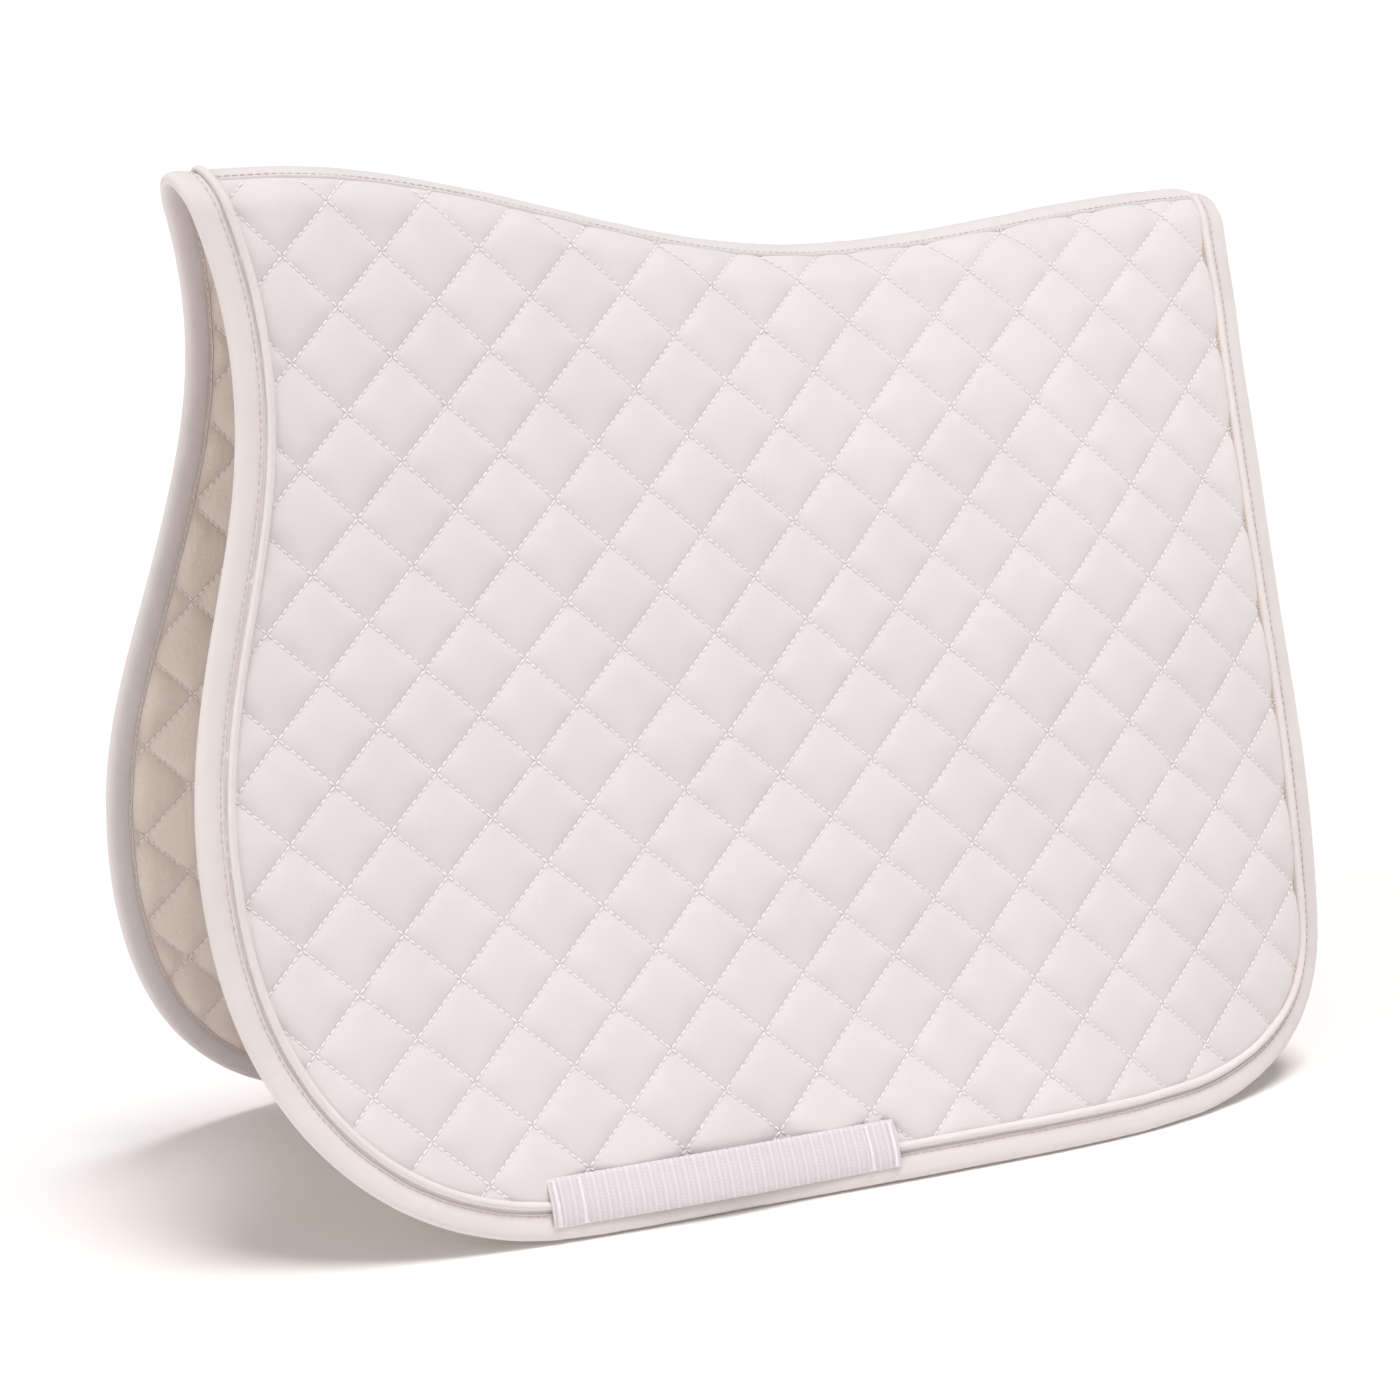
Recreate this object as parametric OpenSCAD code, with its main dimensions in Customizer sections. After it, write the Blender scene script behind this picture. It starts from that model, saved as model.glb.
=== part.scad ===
// Quilted general-purpose saddle pad, standing like a tent on its two bottom edges.
// X runs from the withers (-) to the rear (+), the near (left) side is at -Y, Z is up.
// The pad is cut at a straight fold line on each side: the crown above it is one rigid
// body, and each flap below it turns about that line.

/* [Silhouette] */
// Height of the ridge over the withers
wither_z = 521; // [500:1:545]
// Height of the ridge at its lowest point, under the seat
waist_z = 464; // [455:1:475]
// Height of the ridge at the rear
croup_z = 480; // [470:1:500]
// Distance of the wither crest behind the foremost point of the pad
wither_x = 70; // [55:1:90]
// Distance of the lowest ridge point behind the foremost point
waist_x = 395; // [370:1:420]
// Distance of the rear crest behind the foremost point
croup_x = 635; // [600:1:640]
// How far the shoulder cut-out of the front edge steps back
gullet_depth = 47; // [35:1:55]
// Height of the deepest point of the shoulder cut-out
gullet_z = 436; // [430:1:445]
// Height of the foremost point of the front edge
point_z = 197; // [180:1:215]
// Where the straight bottom edge starts
bottom_front_x = 172; // [150:1:200]
// Where the straight bottom edge ends
bottom_rear_x = 480; // [460:1:500]
// Distance of the rear edge behind the foremost point
rear_x = 627; // [615:1:640]
// Height of the rear bottom corner
rear_corner_z = 95; // [80:1:115]
// How far the rear edge sweeps back at the ridge
rear_sweep = 34; // [24:1:40]

/* [Spread of the flaps] */
// Radius of the fold at the ridge
fold_r = 16; // [14:0.5:18]
// Half width of the fold just under the ridge
gap_top = 16; // [14:0.5:18]
// Half gap 150, 300 and 450 mm under the ridge at the front edge
gap_front = [44, 66, 100];
// Half gap at the same depths, 200 mm behind the foremost point
gap_shoulder = [57, 89, 127];
// Half gap at the same depths, 400 mm behind the foremost point
gap_seat = [87, 126, 166];
// Half gap at the same depths, 620 mm behind the foremost point
gap_rear = [81, 124, 146];

/* [Cloth] */
// Thickness of the outer cloth and of the lining
cloth_t = 0.8; // [0.5:0.1:1]
// Thickness of the wadding between them
wadding_t = 4.6; // [4:0.1:6]
// Width of the edge binding on each face
binding_w = 14; // [10:1:18]
// Thickness of the binding tape
binding_t = 0.6; // [0.4:0.1:1]
// Diameter of the piping cord in its cover
piping_d = 4.5; // [3:0.5:5]
// Distance of the piping from the pad's edge
piping_inset = 17; // [16:0.5:20]
// Angle that the outer ridge tape covers on each side of the ridge
tape_half_angle = 34; // [25:1:45]

/* [Girth keepers] */
// Where the keeper starts, behind the foremost point
keeper_x = 147; // [120:1:180]
// Length of the keeper webbing
keeper_l = 186; // [150:1:200]
// Width of the keeper webbing
keeper_w = 25; // [20:1:30]
// Distance of the webbing's lower edge from the pad's edge
keeper_inset = 6.5; // [5:0.5:8]
// Length of each end that is sewn down
keeper_sewn = 16; // [12:1:25]
// How far the middle of the keeper bows out over the piping
keeper_bow = 11; // [9:0.5:12]
// Thickness of the webbing
keeper_t = 1.5; // [1:0.1:2]

/* [Fold line] */
// Height of the fold line
fold_z = 442; // [438:1:444]
// Half distance between the two fold lines
fold_y = 31; // [28:1:34]
// Clearance at the fold line
fold_gap = 1; // [0.5:0.1:1.5]

/* [Hidden] */

pad_length = 661.1;        // foremost point to the rearmost point of the ridge
foot_lift = 0.94;          // brings the rolled bottom edge exactly to z = 0
stations_x = [0, 200, 400, 620];
stations_h = [0, 150, 300, 450];
gap_table = [gap_front, gap_shoulder, gap_seat, gap_rear];
layer_gap = 0.1;           // between the sewn layers of the panel
trim_gap = 0.5;            // between the panel and what is sewn on it
half_t = wadding_t / 2 + layer_gap + cloth_t;
panel_inset = 2.2;         // panel edge inside the rolled binding
front_corner_n = 2.25;     // squareness of the front bottom corner
rear_corner_n = 2.6;       // squareness of the rear bottom corner
sweep_from_z = 230;        // where the rear edge starts to sweep back
sweep_power = 2.3;         // how late the sweep comes in
gullet_curl = 0.0021;      // forward curl of the front edge above the cut-out
lean = 0.96;               // height of a step along the flap over its length
open_slope = 0.73;         // notch on the outer side, for the flap's opening
close_slope = 0.15;        // notch on the inner side, for its closing
edge_roll = 1.6;           // rounding of the rolled binding
piping_sides = 8;
corner_top = 150;          // height up to which the rows are crowded round the corners
corner_rows = 9;
flap_rows = 17;
flap_cols = 24;
crown_cols = 20;
crown_rows = 10;
ridge_crowding = 1.6;      // crowds the crown's rows towards the ridge
tape_rows = 5;             // on each side of the ridge
inner_half_angle = 50;     // half of what the inner tape covers

cloth_white = [0.94, 0.92, 0.90];
wadding_white = [0.97, 0.97, 0.95];
tape_white = [0.92, 0.90, 0.89];
webbing_white = [0.88, 0.86, 0.89];
thread_white = [0.98, 0.97, 0.95];

// ---- numbers and curves -------------------------------------------------------------

function lerp(a, b, t) = a + (b - a) * t;
function unit(v) = v / norm(v);
function product(v, i = 0) = i >= len(v) ? 1 : v[i] * product(v, i + 1);
// Weight of knot k of a polynomial through the knots, at t
function knot_weight(t, knots, k) =
    product([for (j = [0:len(knots) - 1]) if (j != k) (t - knots[j]) / (knots[k] - knots[j])]);

// Height of the ridge's middle surface: a half wave down to the waist and one up again
function half_wave(x, x0, x1) = (1 - cos(180 * (min(max(x, x0), x1) - x0) / (x1 - x0))) / 2;
function ridge(x) =
    x < waist_x ? lerp(wither_z, waist_z, half_wave(x, wither_x, waist_x))
    : lerp(waist_z, croup_z, half_wave(x, waist_x, croup_x));

// Half gap between the two middle surfaces, h under the ridge
function gap_knot(i, j) = j == 0 ? gap_top : gap_table[i][j - 1];
function gap(x, h) = [for (i = [0:3]) knot_weight(x, stations_x, i)]
    * [for (i = [0:3]) [for (j = [0:3]) knot_weight(h, stations_h, j)] * [for (j = [0:3]) gap_knot(i, j)]];

// The section is a quarter round of fold_r and then the flap. q counts degrees of the
// round from the ridge, and goes on at the same rate down the flap. q < 0 is the off side.
function depth(q) = abs(q) < 90 ? fold_r * (1 - cos(q)) : fold_r * (1 + (abs(q) - 90) * PI / 180);
function q_at(x, z) = let (h = ridge(x) - z)
    h < fold_r ? acos(1 - max(h, 0) / fold_r) : 90 + (h / fold_r - 1) * 180 / PI;
function middle(x, q) = [x, -sign(q) * gap(x, depth(q)) * sin(min(abs(q), 90)), ridge(x) - depth(q)];
function outward(x, q) =
    unit(cross(middle(x, q + 0.5) - middle(x, q - 0.5), middle(x + 2, q) - middle(x - 2, q)));
// A point of the pad, o outside its middle surface
function skin(x, q, o) = middle(x, q) + o * outward(x, q);

// Front and rear edges at height z, d inside the pad's edge
function corner(z, top, d, n) = pow(max(1 - pow(max((top - z) / (top - d), 0), n), 0), 1 / n);
function front_edge(z, d = 0) =
    z < point_z ? lerp(bottom_front_x, d, corner(z, point_z, d, front_corner_n))
    : z < gullet_z ? d + gullet_depth * half_wave(z, point_z, gullet_z)
    : d + gullet_depth - gullet_curl * pow(z - gullet_z, 2);
function rear_edge(z, d = 0) =
    z < rear_corner_z ? lerp(bottom_rear_x, rear_x - d, corner(z, rear_corner_z, d, rear_corner_n))
    : rear_x - d + rear_sweep * pow(max(z - sweep_from_z, 0) / (croup_z - sweep_from_z), sweep_power);

// The notch at the fold line: how far a surface stays away from it, at offset o
function notch(x, o) = let (out = -skin(x, q_at(x, fold_z), o)[1] - fold_y)
    fold_gap + (out > 0 ? open_slope * out : -close_slope * out);

// ---- solids from grids of points ----------------------------------------------------

// Two grids of points, outer and inner, closed into one solid
module slab(outer, inner) {
    rows = len(outer);
    cols = len(outer[0]);
    count = rows * cols;
    function at(r, c) = r * cols + c;
    points = [for (g = [outer, inner]) for (row = g) for (p = row) p];
    rim = concat(
        [for (c = [0:cols - 2]) at(0, c)],
        [for (r = [0:rows - 2]) at(r, cols - 1)],
        [for (c = [cols - 1:-1:1]) at(rows - 1, c)],
        [for (r = [rows - 1:-1:1]) at(r, 0)]);
    faces = concat(
        [for (r = [0:rows - 2]) for (c = [0:cols - 2]) each
            [[at(r, c), at(r, c + 1), at(r + 1, c + 1)], [at(r, c), at(r + 1, c + 1), at(r + 1, c)]]],
        [for (r = [0:rows - 2]) for (c = [0:cols - 2]) each
            [[count + at(r, c), count + at(r + 1, c + 1), count + at(r, c + 1)],
             [count + at(r, c), count + at(r + 1, c), count + at(r + 1, c + 1)]]],
        [for (i = [0:len(rim) - 1]) let (a = rim[i], b = rim[(i + 1) % len(rim)]) each
            [[a, count + b, b], [a, count + a, count + b]]]);
    polyhedron(points = points, faces = faces, convexity = 10);
}

// A round tube through rings of points
module tube(rings) {
    n = len(rings[0]);
    last = len(rings) - 1;
    points = [for (ring = rings) for (p = ring) p];
    faces = concat(
        [[for (i = [0:n - 1]) i]],
        [for (k = [0:last - 1]) for (i = [0:n - 1]) let (j = (i + 1) % n) each
            [[k * n + i, (k + 1) * n + i, (k + 1) * n + j], [k * n + i, (k + 1) * n + j, k * n + j]]],
        [[for (i = [n - 1:-1:0]) last * n + i]]);
    polyhedron(points = points, faces = faces, convexity = 10);
}

// ---- the crown ----------------------------------------------------------------------

// Share of the way from the ridge to the fold line that row i has come
function share(i) = sign(i) * pow(abs(i) / crown_rows, ridge_crowding);
function crown_x(u, v, d) =
    let (x = lerp(gullet_depth, rear_x, u), z = ridge(x) - depth(v * q_at(x, fold_z)))
    lerp(front_edge(z, d), rear_edge(z, d), u);
function crown_q(x, v, o) = v * q_at(x, fold_z + notch(x, o));

function crown_grid(o) = [for (r = [0:crown_rows]) [for (c = [0:crown_cols])
    let (v = share(r), x = crown_x(c / crown_cols, v, panel_inset)) skin(x, crown_q(x, v, o), o)]];

function tape_grid(o, half_angle) = [for (r = [-tape_rows:tape_rows]) [for (c = [0:crown_cols])
    skin(lerp(tape_x0, tape_x1, c / crown_cols), half_angle * r / tape_rows, o)]];

module crown_layer(o_out, o_in) slab(crown_grid(o_out), crown_grid(o_in));

// Points of the binding's cross-section: inset from the edge and offset from the middle
function binding_outer() = let (o = half_t + trim_gap + binding_t)
    [[binding_w, o], [edge_roll, o], [0, o - edge_roll], [0, edge_roll - o], [edge_roll, -o],
     [binding_w, -o]];
function binding_inner() = let (o = half_t + trim_gap, e = binding_t)
    [[binding_w, o], [edge_roll + e / 2, o], [e, o - edge_roll], [e, edge_roll - o], [edge_roll + e / 2, -o],
     [binding_w, -o]];

// A band over the crown, along the front (side = 1) or rear (side = -1) edge
function crown_edge_x(q, side, d) = let (x = side > 0 ? gullet_depth : rear_x, z = ridge(x) - depth(q))
    side > 0 ? front_edge(z) + d : rear_edge(z) - d;
function crown_edge_end(side, o) = let (x = side > 0 ? front_edge(fold_z) : rear_edge(fold_z))
    q_at(x, fold_z + notch(x, o));
function crown_band(profile, side) = [for (i = [-crown_rows:crown_rows]) [for (p = profile)
    let (q = crown_edge_end(side, p[1]) * share(i)) skin(crown_edge_x(q, side, p[0]), q, p[1])]];

function ring_at(x, q, dx, dz) = [for (k = [0:piping_sides - 1])
    let (a = 360 * k / piping_sides, o = half_t + trim_gap + piping_d / 2)
    skin(x, q, o) + piping_d / 2 * (cos(a) * unit([dx, 0, dz]) + sin(a) * outward(x, q))];

piping_start = 8;          // from the outer tape to the rear piping, in degrees of the fold
piping_notch = open_slope * (half_t + trim_gap + piping_d) + 2 * fold_gap;

// ---- the flaps ----------------------------------------------------------------------

// Height of row r counted from the bottom, in a flap that ends at height top
function row_z(r, top) =
    r < corner_rows ? panel_inset + corner_top * (1 - cos(90 * r / corner_rows))
    : lerp(panel_inset + corner_top, top, (r - corner_rows) / (flap_rows - corner_rows));
function flap_grid(o) = [for (r = [flap_rows:-1:0]) [for (c = [0:flap_cols])
    let (
        z0 = row_z(r, fold_z),
        x = lerp(front_edge(z0, panel_inset), rear_edge(z0, panel_inset), c / flap_cols)
    ) skin(x, q_at(x, row_z(r, fold_z - notch(x, o))), o)]];

module flap_layer(o_out, o_in) slab(flap_grid(o_out), flap_grid(o_in));

// The flap's edge in the side view, from the fold line down, along and up again
edge_steps = 20;
bottom_steps = 6;
function flap_outline(top_front, top_rear) = concat(
    [for (i = [0:edge_steps - 1]) let (z = top_front * pow(1 - i / edge_steps, 2)) [front_edge(z), z]],
    [for (i = [0:bottom_steps]) [lerp(bottom_front_x, bottom_rear_x, i / bottom_steps), 0]],
    [for (i = [edge_steps - 1:-1:0]) let (z = top_rear * pow(1 - i / edge_steps, 2)) [rear_edge(z), z]]);
// Inward direction at point i of the outline; level at its two ends, to meet the crown's
function inward(line, i) =
    i == 0 ? [1, 0]
    : i == len(line) - 1 ? [-1, 0]
    : let (d = unit(line[i + 1] - line[i - 1])) [-d[1], d[0]];
function flap_point(line, i, d, o) = let (
        n = inward(line, i),
        x = line[i][0] + d * n[0],
        z = line[i][1] + d * n[1] * lean
    ) skin(x, q_at(x, z), o);

function binding_line(o) = let (xf = front_edge(fold_z), xr = rear_edge(fold_z))
    flap_outline(fold_z - notch(xf, o), fold_z - notch(xr, o));
function flap_band(profile) = let (
        lines = [for (p = profile) binding_line(p[1])]
    ) [for (i = [0:len(lines[0]) - 1]) [for (k = [0:len(profile) - 1])
        flap_point(lines[k], i, profile[k][0], profile[k][1])]];

function piping_rings(line) = [for (i = [0:len(line) - 1]) let (
        n = inward(line, i),
        x = line[i][0] + piping_inset * n[0],
        z = line[i][1] + piping_inset * n[1] * lean
    ) ring_at(x, q_at(x, z), n[0], n[1])];

// ---- the girth keeper ---------------------------------------------------------------

keeper_cols = 16;
keeper_rows = 4;
keeper_droop = 3;          // how much lower the webbing's edges lie than its middle
tack_gap = 0.25;           // between the webbing and the bartacks
tack_t = 0.6;              // thickness of a bartack
tack_half_w = 0.75;        // half of its width
tack_margin = 1.5;         // from its ends to the webbing's edges
outer_tack = 3;            // from the outer bartack to the webbing's end
// Offset of the webbing's inner face: over the piping, and bowed out between its sewn ends
function keeper_offset(u, d) = let (
        free = (keeper_l - 2 * keeper_sewn) / keeper_l,
        s = (u - 0.5) / free,
        loop = abs(s) < 0.5 ? pow(cos(180 * s), 2) : 0,
        over_piping = half_t + 2 * trim_gap + piping_d,
        droop = keeper_droop * pow((d - piping_inset) / (keeper_w / 2), 2)
    ) over_piping + lerp(-droop, keeper_bow, loop);
function keeper_point(u, d, lift) = let (x = keeper_x + keeper_l * u, z = d * lean)
    skin(x, q_at(x, z), keeper_offset(u, d) + lift);
function keeper_grid(lift) = [for (r = [keeper_rows:-1:0]) [for (c = [0:keeper_cols])
    keeper_point(c / keeper_cols, keeper_inset + keeper_w * r / keeper_rows, lift)]];

// A row of stitches across the webbing, centred at u along it
function tack_grid(u, lift) = [for (r = [keeper_rows:-1:0]) [for (side = [-1, 1])
    let (d = keeper_inset + lerp(tack_margin, keeper_w - tack_margin, r / keeper_rows))
    keeper_point(u + side * tack_half_w / keeper_l, d, keeper_t + tack_gap + lift)]];
module bartack(u) slab(tack_grid(u, tack_t), tack_grid(u, 0));

// ---- the pieces ---------------------------------------------------------------------

module place() translate([-pad_length / 2, 0, foot_lift]) children();
module near() place() children();
module off() place() mirror([0, 1, 0]) children();

module outer_cloth_crown() color(cloth_white) crown_layer(half_t, half_t - cloth_t);
module wadding_crown() color(wadding_white) crown_layer(wadding_t / 2, -wadding_t / 2);
module lining_crown() color(cloth_white) crown_layer(cloth_t - half_t, -half_t);
module outer_cloth_flap() color(cloth_white) flap_layer(half_t, half_t - cloth_t);
module wadding_flap() color(wadding_white) flap_layer(wadding_t / 2, -wadding_t / 2);
module lining_flap() color(cloth_white) flap_layer(cloth_t - half_t, -half_t);

tape_t = 1;
stitch_lift = 0.1;         // between the tape and its stitch lines
stitch_t = 0.5;            // thickness of a stitch line
stitch_half = 1;           // half width of a stitch line, in degrees of the fold
stitch_from_edge = 4;      // from the tape's edge, in degrees of the fold
tape_end_gap = 1.5;        // along the ridge, to the piping and to the rear binding
tape_o = half_t + trim_gap;
tape_x0 = front_edge(wither_z - fold_r) + piping_inset + piping_d / 2 + tape_end_gap;
tape_x1 = rear_edge(croup_z - fold_r) - binding_w - tape_end_gap;

module ridge_tape_outer() color(tape_white) place()
    slab(tape_grid(tape_o + tape_t, -tape_half_angle), tape_grid(tape_o, -tape_half_angle));
module ridge_tape_inner() color(tape_white) place()
    slab(tape_grid(-tape_o, -inner_half_angle), tape_grid(-tape_o - tape_t, -inner_half_angle));
function stitch_line(q, o) = [for (dq = [-stitch_half, stitch_half]) [for (c = [0:crown_cols])
    skin(lerp(tape_x0, tape_x1, c / crown_cols), q + dq, o)]];
module ridge_stitching() color(thread_white) place()
    for (side = [-1, 1]) {
        q = side * (tape_half_angle - stitch_from_edge);
        o = tape_o + tape_t + stitch_lift;
        slab(stitch_line(q, o + stitch_t), stitch_line(q, o));
    }

module binding_crown(side) color(tape_white) place()
    if (side > 0) slab(crown_band(binding_outer(), 1), crown_band(binding_inner(), 1));
    else slab(crown_band(binding_inner(), -1), crown_band(binding_outer(), -1));
module piping_crown_front() color(tape_white) place() {
    x = crown_edge_x(90, 1, piping_inset);
    q_end = q_at(x, fold_z + piping_notch);
    tube([for (i = [-crown_rows:crown_rows]) let (q = q_end * share(i))
        ring_at(crown_edge_x(q, 1, piping_inset), q, 1, 0)]);
}
module piping_crown_rear() color(tape_white) place() {
    x = crown_edge_x(90, -1, piping_inset);
    q_start = tape_half_angle + piping_start;
    q_end = q_at(x, fold_z + piping_notch);
    for (side = [-1, 1])
        tube([for (i = [0:5]) let (q = side * lerp(q_start, q_end, (side > 0 ? i : 5 - i) / 5))
            ring_at(crown_edge_x(q, -1, piping_inset), q, 1, 0)]);
}

module binding_flap() color(tape_white) slab(flap_band(binding_outer()), flap_band(binding_inner()));
module piping_flap() color(tape_white)
    tube(piping_rings(flap_outline(fold_z - piping_notch, fold_z - piping_notch)));
module girth_keeper() color(webbing_white) slab(keeper_grid(keeper_t), keeper_grid(0));
module keeper_bartacks() color(thread_white) {
    inner = keeper_sewn / keeper_l;
    outer = outer_tack / keeper_l;
    for (u = [outer, inner, 1 - inner, 1 - outer]) bartack(u);
}

near() outer_cloth_crown();  // outer_cloth_crown_near
off() outer_cloth_crown();  // outer_cloth_crown_off
near() wadding_crown();  // wadding_crown_near
off() wadding_crown();  // wadding_crown_off
near() lining_crown();  // lining_crown_near
off() lining_crown();  // lining_crown_off
ridge_tape_outer();
ridge_tape_inner();
ridge_stitching();
binding_crown(1);  // binding_crown_front
binding_crown(-1);  // binding_crown_rear
piping_crown_front();
piping_crown_rear();
near() outer_cloth_flap();  // outer_cloth_near
near() wadding_flap();  // wadding_near
near() lining_flap();  // lining_near
near() binding_flap();  // binding_near
near() piping_flap();  // piping_near
near() girth_keeper();  // girth_keeper_near
near() keeper_bartacks();  // keeper_bartacks_near
off() outer_cloth_flap();  // outer_cloth_off
off() wadding_flap();  // wadding_off
off() lining_flap();  // lining_off
off() binding_flap();  // binding_off
off() piping_flap();  // piping_off
off() girth_keeper();  // girth_keeper_off
off() keeper_bartacks();  // keeper_bartacks_off
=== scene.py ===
import math

import bpy
import numpy as np
from mathutils import Matrix, noise, kdtree, Vector


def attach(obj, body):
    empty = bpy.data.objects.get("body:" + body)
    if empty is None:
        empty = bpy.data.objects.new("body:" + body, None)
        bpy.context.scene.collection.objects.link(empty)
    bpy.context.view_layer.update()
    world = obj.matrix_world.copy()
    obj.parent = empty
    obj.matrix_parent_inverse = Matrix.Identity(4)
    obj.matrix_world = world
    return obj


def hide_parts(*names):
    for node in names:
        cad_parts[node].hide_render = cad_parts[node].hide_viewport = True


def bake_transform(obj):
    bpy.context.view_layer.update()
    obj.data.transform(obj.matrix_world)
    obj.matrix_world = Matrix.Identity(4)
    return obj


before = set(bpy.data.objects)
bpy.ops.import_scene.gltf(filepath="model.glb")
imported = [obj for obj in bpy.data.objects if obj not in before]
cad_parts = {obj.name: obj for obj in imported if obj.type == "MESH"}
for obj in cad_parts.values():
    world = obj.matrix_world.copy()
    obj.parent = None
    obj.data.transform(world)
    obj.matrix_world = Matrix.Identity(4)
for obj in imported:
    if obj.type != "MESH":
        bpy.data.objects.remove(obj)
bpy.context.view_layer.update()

# ---- the pad's surface, as in the CAD source; lengths here are in millimetres --------

LENGTH, LIFT, FOLD_R = 661.1, 0.94, 16.0
WITHER_X, WITHER_Z, WAIST_X, WAIST_Z, CROUP_X, CROUP_Z = 70, 521, 395, 464, 635, 480
KNOT_X = (0, 200, 400, 620)
KNOT_H = (0, 150, 300, 450)
HALF_GAP = np.array([[16, 44, 66, 100], [16, 57, 89, 127], [16, 87, 126, 166], [16, 81, 124, 146]], float)
FRONT_BOTTOM_X, REAR_BOTTOM_X, REAR_X = 172, 480, 627
POINT_Z, GULLET_Z, GULLET_DEPTH, REAR_CORNER_Z = 197, 436, 47, 95
TUCK, DIP = 5.5, 5.0       # the bound corner at the rear of the spine is drawn forward and down
LEVEL = 440.0              # arc lengths down the flap are counted from this height


def weights(t, knots):
    return np.stack([np.prod([(t - b) / (a - b) for b in knots if b != a], axis=0) for a in knots])


def half_gap(x, h):
    return np.einsum("i...,ij,j...->...", weights(x, KNOT_X), HALF_GAP, weights(h, KNOT_H))


def half_wave(x, x0, x1):
    return (1 - np.cos(np.pi * (np.clip(x, x0, x1) - x0) / (x1 - x0))) / 2


def ridge(x):
    fore = WITHER_Z + (WAIST_Z - WITHER_Z) * half_wave(x, WITHER_X, WAIST_X)
    aft = WAIST_Z + (CROUP_Z - WAIST_Z) * half_wave(x, WAIST_X, CROUP_X)
    return np.where(x < WAIST_X, fore, aft) - DIP * half_wave(x, 628, 661)


def corner(z, top, n):
    return np.maximum(1 - np.maximum((top - z) / top, 0) ** n, 0) ** (1 / n)


def front_edge(z):
    low = FRONT_BOTTOM_X * (1 - corner(z, POINT_Z, 2.25))
    middle = GULLET_DEPTH * half_wave(z, POINT_Z, GULLET_Z)
    high = GULLET_DEPTH - 0.0021 * (z - GULLET_Z) ** 2
    return np.where(z < POINT_Z, low, np.where(z < GULLET_Z, middle, high))


def rear_edge(z):
    low = REAR_BOTTOM_X + (REAR_X - REAR_BOTTOM_X) * corner(z, REAR_CORNER_Z, 2.6)
    high = REAR_X + 34 * (np.maximum(z - 230, 0) / (CROUP_Z - 230)) ** 2.3 - TUCK * half_wave(z, 410, 472)
    return np.where(z < REAR_CORNER_Z, low, high)


def depth(q):
    a = np.abs(q)
    return np.where(a < np.pi / 2, FOLD_R * (1 - np.cos(a)), FOLD_R * (1 + a - np.pi / 2))


def q_at(x, z):
    h = np.maximum(ridge(x) - z, 0)
    return np.where(h < FOLD_R, np.arccos(np.clip(1 - h / FOLD_R, -1, 1)), np.pi / 2 + h / FOLD_R - 1)


def middle(x, q):
    d = depth(q)
    y = -np.sign(q) * half_gap(x, d) * np.sin(np.minimum(np.abs(q), np.pi / 2))
    return np.stack(np.broadcast_arrays(x, y, ridge(x) - d), -1)


def unit(v):
    return v / np.maximum(np.linalg.norm(v, axis=-1, keepdims=True), 1e-12)


def normal(x, q):
    e = 0.009
    return unit(np.cross(middle(x, q + e) - middle(x, q - e), middle(x + 2, q) - middle(x - 2, q)))


# Arc length from the ridge down each section, tabled so that it can be turned back into q
TABLE_X = np.arange(-10, 691, 5.0)
TABLE_A = np.arange(0, 640, 0.5)
_q = np.linspace(0, 34, 2400)
_sections = middle(TABLE_X[:, None], _q[None, :])
_arc = np.concatenate(
    [np.zeros((len(TABLE_X), 1)), np.cumsum(np.linalg.norm(np.diff(_sections, axis=1), axis=2), axis=1)], 1)
TABLE_Q = np.stack([np.interp(TABLE_A, a, _q) for a in _arc])
TABLE_LEVEL = np.array([np.interp(q_at(x, LEVEL), _q, a) for x, a in zip(TABLE_X, _arc)])


def level_arc(x):
    """Arc length from the ridge down to LEVEL."""
    return np.interp(x, TABLE_X, TABLE_LEVEL)


def q_of(x, a):
    """The section angle at arc length a from the ridge; a < 0 is over it, on the other side."""
    u = np.clip((x - TABLE_X[0]) / 5.0, 0, len(TABLE_X) - 1.001)
    v = np.clip(np.abs(a) / 0.5, 0, len(TABLE_A) - 1.001)
    i, j = u.astype(int), v.astype(int)
    u, v = u - i, v - j
    q = ((TABLE_Q[i, j] * (1 - u) + TABLE_Q[i + 1, j] * u) * (1 - v)
         + (TABLE_Q[i, j + 1] * (1 - u) + TABLE_Q[i + 1, j + 1] * u) * v)
    return np.sign(a) * q


def drape(x, s):
    """A slow unevenness of the hanging cloth, along its normal."""
    return (0.9 * np.sin(x / 41 + s / 67 + 0.8) * np.sin(s / 53 - x / 120)
            + 0.5 * np.sin(x / 23 - s / 31 + 2.0)) * np.clip((s + 40) / 120, 0, 1)


def skin(x, s, o):
    """The point at length x along the pad and arc length s below LEVEL, o outside its middle surface."""
    x, s, o = (np.asarray(v, float) for v in np.broadcast_arrays(x, s, o))
    q = q_of(x, s + level_arc(x))
    return middle(x, q) + normal(x, q) * (o + drape(x, s))[..., None]


def s_at(x, z):
    """Arc length below LEVEL of the point of the near flap at x and height z."""
    q = q_at(x, z)
    u = np.clip((x - TABLE_X[0]) / 5.0, 0, len(TABLE_X) - 1.001).astype(int)
    return np.array([np.interp(b, _q, _arc[k]) for b, k in zip(q, u)]) - level_arc(x)


# ---- the pad's edge, from the ridge down the front, along the bottom and up to the ridge

def resample(line, step):
    t = np.concatenate([[0], np.cumsum(np.linalg.norm(np.diff(line, axis=0), axis=1))])
    n = max(int(round(t[-1] / step)), 2)
    u = np.linspace(0, t[-1], n + 1)
    return np.stack([np.interp(u, t, line[:, k]) for k in range(line.shape[1])], 1)


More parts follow.
